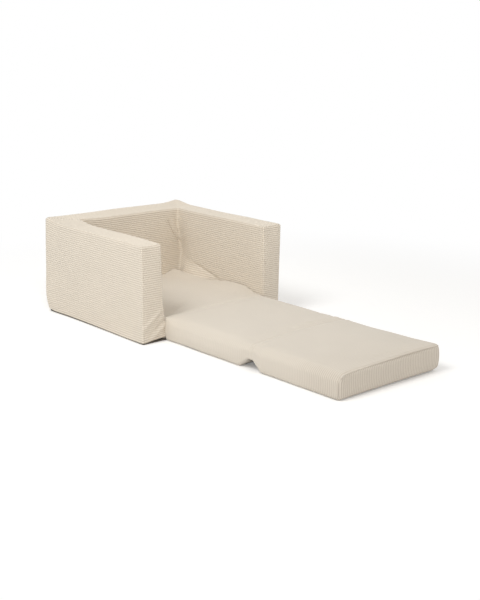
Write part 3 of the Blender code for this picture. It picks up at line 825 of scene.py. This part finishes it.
def edged(half, edge):
    """Places across a cushion, close together over its rounded long edges."""
    fine = np.linspace(0, edge, 2 * CORNER_STEPS + 1)
    middle = spread(edge - half, half - edge, RING_STEP)
    return np.concatenate([fine[:-1] - half, middle, half - fine[-2::-1]])


def box_ring(across, up):
    """Points round a box section, clockwise from its top left corner as seen along y, and their ways."""
    ring = rectangle(across, up[::-1])
    return ring, way_round(ring)[0]


def fine_ring(half):
    return box_ring(edged(half, LONG_EDGE), spread(0.0, BOX_HEIGHT, RING_STEP / 2))


def from_foot(loop, ring):
    """A row of a tube, turned and reversed to run anticlockwise from its lower left corner."""
    corner = np.argmin(np.linalg.norm(ring - (ring[:, 0].min(), 0.0), axis=1))
    turned = np.roll(loop, -corner)
    return np.concatenate([turned[:1], turned[:0:-1]])


def long_edge(x, y):
    """Radius of a cushion's long edges: soft on the left, crisper on the right and by the hinge."""
    side = 1 - (1 - RIGHT_EDGE_SHARE) * ease(x / LONG_EDGE)
    away = ease((seat_high.y - y) / HINGE_EDGE_REACH)
    return LONG_EDGE * (HINGE_EDGE_SHARE + (side - HINGE_EDGE_SHARE) * away)


def top_section(x, z, half, edge):
    """A cushion's section: crowned on top, a little higher on the right, with rounded long edges."""
    side, above = round_off(half - np.abs(x), BOX_HEIGHT - z, edge)
    crown = (base_high.z - BOX_HEIGHT) * np.sin(np.clip(side / CROWN_SPAN, 0, 1) * math.pi / 2)
    rise = crown + RIGHT_RISE * ease((x / half + 1) / 2)
    return np.sign(x) * (half - side), BOX_HEIGHT - above + rise * np.clip(z / BOX_HEIGHT, 0, 1) ** 2


def settle_fold(points):
    """The fold between the loose cushions sits further forward on the left."""
    left = ease((seat_high.x / 2 - points[..., 0]) / (seat_high.x * 3 / 2))
    near = np.exp(-((points[..., 1] - fold_gap) / FOLD_REACH) ** 2)
    shifted = points.copy()
    shifted[..., 1] -= FOLD_SHIFT * left * near
    return shifted


class Cushion:
    """Shape of a cushion. Its nose is the folding end, as y and the way into the cushion."""

    def __init__(self, prefix, nose, free_front):
        self.low, self.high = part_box(prefix + "_cover")
        self.zip_node = prefix + "_zip"
        self.nose = nose
        self.free_front = free_front

    def shape(self, box):
        """Points of a plain box carried onto the cushion."""
        x, y, z = np.moveaxis(box, -1, 0)
        half = self.high.x
        x, z = top_section(x, z, half, long_edge(x, y))
        side, z = round_off(half - np.abs(x), z, self.foot_edge(x, y))
        free = FREE_RADII if self.free_front else JOINED_RADII
        for place, into, (upright, level) in ((self.low.y, 1, free), (self.high.y, -1, JOINED_RADII)):
            gap = (y - place) * into
            gap, side = round_off(gap, side, upright)
            gap, above = round_off(gap, self.high.z - z, level)
            gap, z = round_off(gap, self.high.z - above, level)
            y = place + gap * into
        points = np.stack([np.sign(x) * (half - side), y, z], axis=-1)
        return self.settle(self.puff(points))

    def foot_edge(self, x, y):
        """Radius along the foot, largest at the free end's right corner."""
        near = ease(x / self.high.x) * ease(1 - (y - self.low.y) / FREE_CORNER_REACH) * self.free_front
        return BOTTOM_EDGE + (FREE_FOOT_EDGE - BOTTOM_EDGE) * near

    def puff(self, points):
        """Sides and free end bulge. The zipped side is drawn in, and the nose is cut back underneath."""
        x, y, z = np.moveaxis(points, -1, 0)
        gap = (y - self.nose[0]) * self.nose[1]
        belly = np.sin(np.pi * np.clip(z / self.high.z, 0, 1))
        reach = ease(gap / NOSE_REACH) * ease((np.abs(x) - self.high.x + LONG_EDGE) / LONG_EDGE)
        zipped = (x > 0) * (ease((y - self.low.y) / FREE_CORNER_REACH) if self.free_front else 1)
        bulge = np.where(x > 0, FREE_SIDE_BULGE, BULGE)
        x = x + np.sign(x) * belly * reach * (bulge * (1 - zipped) - DRAW_IN * zipped * belly)
        if self.free_front:
            across = 1 - (x / self.high.x) ** 4
            y = y - BULGE * belly * np.clip(across, 0, 1) * ease(1 - (y - self.low.y) / FREE_RADII[1])
        cut = NOSE_RISE * np.clip(1 - gap / NOSE_REACH, 0, 1) * np.clip(1 - z / NOSE_TOP, 0, 1)
        return np.stack([x, y, z + cut], axis=-1)

    def settle(self, points):
        if self.free_front:
            x, y, z = np.moveaxis(points, -1, 0)
            lift = FREE_LIFT * np.exp(-((y - self.low.y) / LONG_EDGE) ** 2) * np.clip(1 - z / NOSE_TOP, 0, 1)
            points = np.stack([x, y, z + lift * ease(x / self.high.x + 1)], axis=-1)
            for side, reach, shift in FREE_PULLS:
                points = pull(points, (side * self.high.x, self.low.y, self.high.z), reach, shift)
        return settle_fold(points)

    def tube(self, ring, ys):
        box = np.zeros((len(ys), len(ring), 3))
        box[..., 0], box[..., 2] = ring[:, 0], ring[:, 1]
        box[..., 1] = ys[:, None]
        return self.shape(box)

    def panel(self, xs, ups, y):
        x, z = np.meshgrid(xs, ups)
        return self.shape(np.stack([x, np.full(x.shape, y), z], axis=2))

    def held(self, points):
        """Whether points stay put as the cover swells: the underside, the joined ends and the zip."""
        ends = points[:, 1] > self.high.y - HELD_END
        if not self.free_front:
            ends |= points[:, 1] < self.low.y - FOLD_SHIFT + HELD_END
        return ends | (points[:, 2] < TINY) | (zip_bed(points, self.zip_node) > 0)


def coarse_cushion(cushion):
    """Coarse cover, simulated. Returns its places and how far each point of the cover moved."""
    ys = spread(cushion.low.y, cushion.high.y, COARSE_STEP)
    xs = spread(-cushion.high.x, cushion.high.x, COARSE_STEP)
    ups = spread(0.0, BOX_HEIGHT, COARSE_STEP)
    ring, ways = box_ring(xs, ups)
    cover = Cloth()
    tube = cover.add_grid(cushion.tube(ring, ys), closed=True)
    ends = []
    for row in (0, -1):
        edge = from_foot(tube[row], ring)
        ends.append(cover.add_grid(cushion.panel(xs, ups, ys[row]), flip=row < 0, edge=edge))
    moved = np.zeros(cover.points.shape)
    used, faces = cover.compact()
    held = cushion.held(cover.points[used])
    moved[used] = swell(cover.points[used], faces, np.flatnonzero(held))
    return {"ys": ys, "ways": ways, "length": way_round(ring)[1], "xs": xs, "ups": ups,
            "tube": moved[tube], "ends": [moved[end] for end in ends]}


def seam_groove(distance):
    return -SEAM_TUCK * np.exp(-(distance / SEAM_SPREAD) ** 2)


def above_floor(points):
    return np.maximum(points, (-math.inf, -math.inf, 0))


def add_sides(cover, cushion, coarse, unevenness):
    """The cloth that goes round the long sides, with its wales across the cushion."""
    half = cushion.high.x
    ys = wale_places(cushion.low.y, cushion.high.y)
    ring, ways = fine_ring(half)
    around = loop_weights(coarse["ways"], ways, coarse["length"])
    tube = cushion.tube(ring, ys) + refine(coarse["tube"], cubic_weights(coarse["ys"], ys), around)
    front = ys[:, None] - cushion.low.y
    rear = cushion.high.y - ys[:, None]
    free = ease(1 - front / FREE_CORD_REACH) * cushion.free_front
    clear = SEAT_CORD_SHARE + (FREE_CORD_SHARE - SEAT_CORD_SHARE) * free
    top = (ring[:, 1] > BOX_HEIGHT - TINY) * ease((half - np.abs(ring[:, 0])) / LONG_EDGE)
    rib = worn_cord(ys[:, None], clear * (1 - TOP_WEAR_SHARE * top))
    calm = ease(np.minimum(front, rear) / LONG_EDGE) * (tube[..., 2] > TINY)
    lift = WALE_DEPTH * (rib - 1) + ripples(tube, *unevenness) * calm
    if cushion.free_front:
        lift = lift + seam_groove(front)
    tube = above_floor(raised(tube, bedded(lift, tube, cushion.zip_node), closed=True))
    return cover.add_grid(tube, cord_places(ys[:, None], ways, rib), closed=True), ring


def add_end(cover, cushion, coarse, row, outer):
    """End panel with its wales upright, joined to the long sides. Row 0 is the front, and -1 the rear."""
    half = cushion.high.x
    y, into = ((cushion.low.y, -1), (cushion.high.y, 1))[row]
    xs = wale_places(-half, half)
    ups = spread(0.0, BOX_HEIGHT, RING_STEP / 2)
    moved = refine(coarse["ends"][row], cubic_weights(coarse["ups"], ups), cubic_weights(coarse["xs"], xs))
    edge = np.minimum((half - np.abs(xs))[None], np.minimum(ups, BOX_HEIGHT - ups)[:, None])
    rib = worn_cord(xs[None], FREE_CORD_SHARE, ease(edge / WALE_FADE))
    lift = WALE_DEPTH * (rib - 1) + seam_groove(edge)
    sheet = above_floor(raised(cushion.panel(xs, ups, y) + moved, -into * lift))
    loop = border(cover.add_grid(sheet, cord_places(xs[None], ups[:, None], rib), flip=into > 0))
    if into < 0:
        cover.bridge(loop, outer)
    else:
        cover.bridge(outer, loop)


def make_cushion(prefix, cushion):
    coarse = coarse_cushion(cushion)
    cover = Cloth()
    index, ring = add_sides(cover, cushion, coarse, RIPPLES[prefix])
    for row in (0, -1):
        add_end(cover, cushion, coarse, row, from_foot(index[row], ring))
    piece = cover.build(prefix + "_fabric", shade_dimmed_cloth, prefix)
    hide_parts(prefix + "_cover", prefix + "_foam")
    make_welt(prefix, cushion, coarse)


def make_welt(prefix, cushion, coarse):
    """The piped seam round the top. It shows at the free end and sinks into the cloth elsewhere."""
    half = cushion.high.x
    xs = spread(-half, half, WELT_STEP)
    ys = spread(cushion.low.y, cushion.high.y, WELT_STEP)
    plan = rectangle(xs, ys)
    box = at_height(plan, BOX_HEIGHT)
    inner_low = (LONG_EDGE - half, ys[0] + LONG_EDGE, BOX_HEIGHT - LONG_EDGE)
    inner_high = (half - LONG_EDGE, ys[-1] - LONG_EDGE, BOX_HEIGHT - LONG_EDGE)
    centre = cushion.shape(box)
    outward = centre - cushion.shape(np.clip(box, inner_low, inner_high))
    outward /= np.linalg.norm(outward, axis=1, keepdims=True)
    rows = cubic_weights(coarse["ys"], plan[:, 1])
    ways = np.where(plan[:, 0] < half, np.clip(plan[:, 0] + half, 0, None), 2 * half)
    columns = loop_weights(coarse["ways"], ways, coarse["length"])
    centre += np.einsum("pa,abk,pb->pk", rows, coarse["tube"], columns)
    hidden = np.ones(len(plan))
    if cushion.free_front:
        hidden = ease((plan[:, 1] - cushion.low.y) / FREE_RADII[1])
    centre -= outward * (hidden * WELT_SINK + WELT_RADIUS / 2)[:, None]
    along = np.roll(centre, -1, axis=0) - np.roll(centre, 1, axis=0)
    across = np.cross(along, outward)
    across /= np.linalg.norm(across, axis=1, keepdims=True)
    turns = np.linspace(0, 2 * math.pi, WELT_SIDES + 1)
    spokes = [outward * math.cos(turn) - across * math.sin(turn) for turn in turns]
    grid = np.stack([centre + WELT_RADIUS * spoke for spoke in spokes])
    around = (np.arange(len(turns)) * WELT_RADIUS)[:, None]
    cord = Cloth()
    cord.add_grid(grid, cord_places(around, way_round(centre)[0], WELT_TONE), closed=True)
    piece = cord.build(prefix + "_piping", shade_dimmed_cloth, prefix)
    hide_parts(prefix + "_welt")


# The fixed base between the arms

# Place, reach and height of each hill and hollow of the base's top
BASE_HOLLOW = ((-0.165, 0.205), (0.075, 0.080), -0.026)
BASE_PUFF = ((inner_half, 0.225), (0.060, 0.115), 0.019)
BASE_REAR = ((inner_half, back_inner), (0.045, 0.110), 0.022)
BASE_SAG = ((0.0, back_inner), (math.inf, 0.090), -0.014)
PUFF_FADE = 0.07
BASE_CREASE = ((-0.190, 0.118, 0.07), (0.020, 0.200, 0.07), 0.012, 0.0025)


def base_relief(x, y):
    """How the base's top differs from a plain cushion's: hollow by the left arm, puffed by the right."""
    puff = hill(x, y, *BASE_PUFF) * ease((y - base_low.y) / PUFF_FADE)
    return hill(x, y, *BASE_HOLLOW) + puff + hill(x, y, *BASE_REAR) + hill(x, y, *BASE_SAG)


def make_base():
    half = base_high.x
    ys = wale_places(base_low.y, base_high.y)
    x, y = np.meshgrid(edged(half, BASE_EDGE), ys)
    x, z = top_section(x, np.full(x.shape, BOX_HEIGHT), half, BASE_EDGE)
    sheet = np.stack([x, y, z + base_relief(x, y)], axis=2)
    rib = worn_cord(y, BASE_CORD_SHARE)
    calm = ease((y - base_low.y) / LONG_EDGE)
    lift = WALE_DEPTH * (rib - 1) + (fold(sheet, *BASE_CREASE) + ripples(sheet, *RIPPLES["base"])) * calm
    cover = Cloth()
    loop = border(cover.add_grid(raised(sheet, lift), cord_places(y, x, rib)))

    # Sides, from the top's border down to the foot
    upper = cover.points[loop]
    foot = at_height(upper[:, :2], base_low.z)
    shares = wale_places(0.0, BOX_HEIGHT) / BOX_HEIGHT
    skirt = foot + shares[:, None, None] * (upper - foot)
    rib = worn_cord(shares * BOX_HEIGHT, BASE_CORD_SHARE, ease((1 - shares) * BOX_HEIGHT / WALE_FADE))
    lift = WALE_DEPTH * (rib - 1) + BULGE / 2 * np.sin(np.pi * shares)
    places = cord_places((shares * BOX_HEIGHT)[:, None], cover.places[loop][:, 1], rib[:, None])
    index = cover.add_grid(raised(skirt, lift[:, None], closed=True), places, closed=True)
    cover.bridge(index[-1], loop)
    cover.cap(index[0][::-1])
    piece = cover.build("base_fabric", shade_dimmed_cloth, "shell")
    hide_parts("base_cover", "base_foam")


# Hinge strips


def make_strip(name, front, rear, shape, nodes):
    """Cloth over the gap between two cushions, from front to rear. It wraps their sides too."""
    ring = fine_ring(seat_high.x)[0]
    ring = np.roll(ring, len(ring) - np.argmax(ring[:, 1] < TINY), axis=0)
    ring = ring[ring[:, 1] > STRIP_FOOT]
    lap = np.linspace(front - STRIP_LAP, front, 2 * CORNER_STEPS)
    gap = np.linspace(front, rear, 2 * CORNER_STEPS + 1)
    ys = np.concatenate([lap[:-1], gap, lap[1:] + rear - front + STRIP_LAP])
    share = (ys - ys[0]) / (ys[-1] - ys[0])
    x, y = np.meshgrid(ring[:, 0], ys)
    z = np.broadcast_to(ring[:, 1], x.shape)
    x, z = top_section(x, z, seat_high.x, long_edge(x, y))
    sheet = shape(np.stack([x, y, z], axis=2))
    rib = worn_cord(y, SEAT_CORD_SHARE)
    proud = STRIP_RISE - STRIP_SINK * np.abs(2 * share - 1) ** STRIP_SINK_POWER
    proud = proud - STRIP_CREASE * np.exp(-((share - 1 / 2) * STRIP_CREASE_TIGHTNESS) ** 2)
    normals = normals_of(sheet)
    outside = sheet + normals * (proud[:, None] + WALE_DEPTH * (rib - 1))[..., None]
    inside = outside - normals * CLOTH_THICKNESS
    cloth = Cloth()
    cloth.add_sheet(outside, inside, cord_places(y, np.arange(len(ring)) * RING_STEP, rib))
    piece = cloth.build(name, shade_dimmed_cloth)
    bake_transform(piece)
    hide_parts(*nodes)


def hinge_shape(sheet):
    """The strip between base and seat follows the base's uneven top at its rear."""
    onto_base = ease((sheet[..., 1] - seat_high.y) / (base_low.y - seat_high.y))
    on_top = ease((sheet[..., 2] - NOSE_TOP) / (BOX_HEIGHT - NOSE_TOP))
    shaped = sheet.copy()
    shaped[..., 2] += base_relief(sheet[..., 0], sheet[..., 1]) * onto_base * on_top
    return shaped


# Zips


def add_bar(cloth, profile, length):
    """A straight bar with capped ends along a closed profile. Its points are along, up and out."""
    ends = [np.concatenate([np.full((len(profile), 1), way), profile], axis=1) for way in (0.0, length)]
    index = cloth.add_grid(np.stack(ends), closed=True)
    cloth.cap(index[0][::-1])
    cloth.cap(index[1])


def tape_profile(edge, middle):
    """Section of a tape from its outer edge to the side by the teeth, as up and out."""
    low, high = sorted((edge, middle))
    rim = TAPE_THICKNESS / 3
    return np.array([(low, rim), (low + rim, 0), (high - rim, 0), (high, rim),
                     (high, TAPE_THICKNESS - rim), (high - rim, TAPE_THICKNESS),
                     (low + rim, TAPE_THICKNESS), (low, TAPE_THICKNESS - rim)])


def add_tooth(cloth, along, up, reach, depth):
    """One turn of the coil, as a rounded block that stands on the tape."""
    turns = np.linspace(0, 2 * math.pi, TOOTH_SIDES, endpoint=False)
    oval = np.stack([TOOTH_PITCH * TOOTH_WIDTH_SHARE * np.cos(turns), reach * np.sin(turns)], axis=1)
    foot = TAPE_THICKNESS / 2
    rings = [(1.0, foot), (1.0, depth - foot), (TOOTH_TIP_SHARE, depth)]
    grid = np.stack([at_height((along, up) + oval * share, out) for share, out in rings])
    cloth.cap(cloth.add_grid(grid, closed=True)[-1])


def make_zip(prefix, along):
    """Two woven tapes with a coil between them. Along is the zip's direction, and up is z."""
    node = prefix + "_zip"
    low, high = (np.array(corner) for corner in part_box(node))
    along = np.array(along, float)
    out = np.cross(along, (0, 0, 1))
    extent = high - low
    length, height, depth = abs(extent @ along), extent[2], abs(extent @ out)
    turned = np.array([along, (0.0, 0.0, 1.0), out])
    start = np.where(turned.sum(axis=0) < 0, high, low)
    middle = height / 2
    tapes, coil = Cloth(), Cloth()
    for edge in (0.0, height):
        side = middle + math.copysign(TAPE_GAP, edge - middle)
        add_bar(tapes, tape_profile(edge, side), length)
    for count, way in enumerate(spread(TOOTH_PITCH, length - TOOTH_PITCH, TOOTH_PITCH)):
        shift = TAPE_GAP / 2 if count % 2 else -TAPE_GAP / 2
        add_tooth(coil, way, middle + shift, 2 * TAPE_GAP, depth)
    for cloth, kind, material in ((tapes, "_tape", tape_cloth), (coil, "_coil", coil_nylon)):
        cloth.points = start + cloth.points @ turned
        piece = cloth.build(node + kind, material, prefix)
        piece.data.set_sharp_from_angle(angle=ZIP_CREASE)
        if cloth is tapes:
            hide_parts(node)
    for kind in ("_slider", "_puller"):
        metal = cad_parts[prefix + kind]
        metal.data.materials.clear()
        metal.data.materials.append(puller_metal)


# The underside


def make_underside():
    """Non-slip panel with rubber dots, set in from the shell's edges."""
    low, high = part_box("underside_panel")
    xs = spread(low.x + PANEL_INSET, high.x - PANEL_INSET, PANEL_STEP)
    ys = spread(low.y + PANEL_INSET, high.y - PANEL_INSET, PANEL_STEP)
    x, y = np.meshgrid(xs, ys)
    middle = (DOT_HEIGHT + SHELL_LIFT) / 2
    flat = np.stack([x, y, np.full(x.shape, middle)], axis=2)
    thick = np.array([0, 0, middle - DOT_HEIGHT])
    panel = Cloth()
    panel.add_sheet(flat + thick, flat - thick, cord_places(x, y, 1.0))
    turns = np.linspace(0, 2 * math.pi, DOT_SIDES, endpoint=False)
    ring = DOT_RADIUS * np.stack([np.cos(turns), -np.sin(turns), np.zeros(DOT_SIDES)], axis=1)
    for row in range(1, len(ys) - 1):
        for column in range(1 + row % 2, len(xs) - 1, 2):
            centre = np.array([xs[column], ys[row], DOT_HEIGHT])
            rings = [centre + ring, centre * (1, 1, 0) + ring * DOT_TIP_SHARE]
            panel.cap(panel.add_grid(np.stack(rings), closed=True)[1])
    panel.points[:, :2] = settle_shell(panel.points)[:, :2]
    piece = panel.build("underside_fabric", panel_cloth, "shell")
    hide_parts("underside_panel")


make_shell()
make_base()
make_underside()
make_cushion("seat", Cushion("seat", nose=(seat_low.y, 1), free_front=False))
make_cushion("backrest", Cushion("backrest", nose=(back_high.y, -1), free_front=True))
make_strip("hinge_strip", seat_high.y, base_low.y, hinge_shape,
           ("base_hinge_leaf", "seat_hinge_leaf"))
make_strip("fold_strip", back_high.y, seat_low.y, settle_fold,
           ("seat_fold_leaf", "backrest_fold_leaf"))
make_zip("shell", (-1, 0, 0))
make_zip("seat", (0, 1, 0))
make_zip("backrest", (0, 1, 0))


# Studio

CAMERA_PLACE = (-2.169, -2.541, 0.975)
CAMERA_AZIMUTH = -40.73
CAMERA_ELEVATION = 14.49
CAMERA_LENS = 68.3
CAMERA_NEAR = 0.05
FLOOR_REACH = 8.0
FLOOR_GLOW = 0.15
FLOOR_NEAR = 0.8
FLOOR_FAR = 1.8
FLOOR_COLOUR = (0.93, 0.93, 0.93, 1)
FLOOR_ROUGHNESS = 0.9
WORLD_COLOUR = (1.0, 0.99, 0.97, 1)
WORLD_STRENGTH = 0.68
WHITE = (1, 1, 1, 1)

# Soft lamps aimed at the frame's origin: place, size, power and colour
SOFT_LAMPS = {
    "key": ((-2.1, -0.3, 3.0), 1.6, 47, (1.0, 1.0, 0.99)),
    "fill": ((-0.9, -2.6, 1.5), 1.4, 7, (1.0, 0.90, 0.82)),
}

# Spot into the well: place, target, power and colour
WELL_SPOT = ((-1.2, -1.6, 1.9), (0.1, 0.5, 0.20), 68, (1.0, 0.96, 0.92))
SPOT_ANGLE = 27
SPOT_RADIUS = 0.4


def make_camera():
    data = bpy.data.cameras.new("camera")
    data.lens = CAMERA_LENS
    data.clip_start = CAMERA_NEAR
    camera = link_object("camera", data)
    turn, tilt = math.radians(CAMERA_AZIMUTH), math.radians(CAMERA_ELEVATION)
    back = Vector((math.sin(turn) * math.cos(tilt), -math.cos(turn) * math.cos(tilt), math.sin(tilt)))
    camera.location = CAMERA_PLACE
    camera.rotation_mode = "QUATERNION"
    camera.rotation_quaternion = (-back).to_track_quat("-Z", "Y")
    bpy.context.scene.camera = camera


def mix_shaders(tree, share, first, second):
    return add_node(tree, "ShaderNodeMixShader", "Shader", {"Fac": share, 1: first, 2: second})


def white_to_camera(tree, shaded, white):
    """White for rays that see it straight, in gloss or through glass, and shaded for all others."""
    path = tree.nodes.new("ShaderNodeLightPath").outputs
    seen = calculate(tree, "MAXIMUM", path["Is Camera Ray"], path["Is Glossy Ray"])
    seen = calculate(tree, "MAXIMUM", seen, path["Is Transmission Ray"])
    return mix_shaders(tree, seen, shaded, white)


def make_world():
    world = bpy.data.worlds.new("studio")
    world.use_nodes = True
    bpy.context.scene.world = world
    tree = world.node_tree
    light = feed(tree, tree.nodes["Background"], {"Color": WORLD_COLOUR, "Strength": WORLD_STRENGTH})
    white = add_node(tree, "ShaderNodeBackground", "Background", {"Color": WHITE})
    mixed = white_to_camera(tree, light.outputs["Background"], white)
    feed(tree, tree.nodes["World Output"], {"Surface": mixed})


def floor_fade(tree):
    """0 near the chair and 1 far away from it."""
    away = tree.nodes.new("ShaderNodeVectorMath")
    away.operation = "LENGTH"
    feed(tree, away, {0: own_place(tree)})
    fade = tree.nodes.new("ShaderNodeMapRange")
    fade.interpolation_type = "SMOOTHSTEP"
    feed(tree, fade, {"Value": away.outputs["Value"], "From Min": FLOOR_NEAR, "From Max": FLOOR_FAR})
    return fade.outputs["Result"]


def make_floor():
    """White floor. The camera sees it white, with a share of its true shading near the chair."""
    material, tree, shader = new_material("studio_floor")
    surface = {"Base Color": FLOOR_COLOUR, "Roughness": FLOOR_ROUGHNESS, "Specular IOR Level": 0.0}
    shaded = feed(tree, shader, surface).outputs["BSDF"]
    glow = add_node(tree, "ShaderNodeEmission", "Emission", {"Strength": FLOOR_GLOW})
    near = add_node(tree, "ShaderNodeAddShader", "Shader", {0: shaded, 1: glow})
    white = add_node(tree, "ShaderNodeEmission", "Emission", {"Strength": 1.0})
    seen = mix_shaders(tree, floor_fade(tree), near, white)
    feed(tree, tree.nodes["Material Output"], {"Surface": white_to_camera(tree, shaded, seen)})
    mesh = bpy.data.meshes.new("studio_floor")
    corners = [(x * FLOOR_REACH, y * FLOOR_REACH, 0) for x, y in ((-1, -1), (1, -1), (1, 1), (-1, 1))]
    mesh.from_pydata(corners, [], [(0, 1, 2, 3)])
    add_object("studio_floor", mesh, material)


def add_lamp(name, kind, place, target, power, colour):
    """Lamp that shines from a place onto a target. Returns its settings."""
    data = bpy.data.lights.new(name, kind)
    data.energy = power
    data.color = colour
    lamp = link_object(name, data)
    lamp.location = place
    lamp.rotation_euler = (Vector(target) - Vector(place)).to_track_quat("-Z", "Y").to_euler()
    return data


def make_lamps():
    for name, (place, size, power, colour) in SOFT_LAMPS.items():
        data = add_lamp(name, "AREA", place, (0, 0, 0), power, colour)
        data.shape = "DISK"
        data.size = size
    data = add_lamp("inner", "SPOT", *WELL_SPOT)
    data.spot_size = math.radians(SPOT_ANGLE)
    data.spot_blend = 1.0
    data.shadow_soft_size = SPOT_RADIUS


make_camera()
make_world()
make_floor()
make_lamps()
bpy.context.scene.view_settings.view_transform = "Standard"
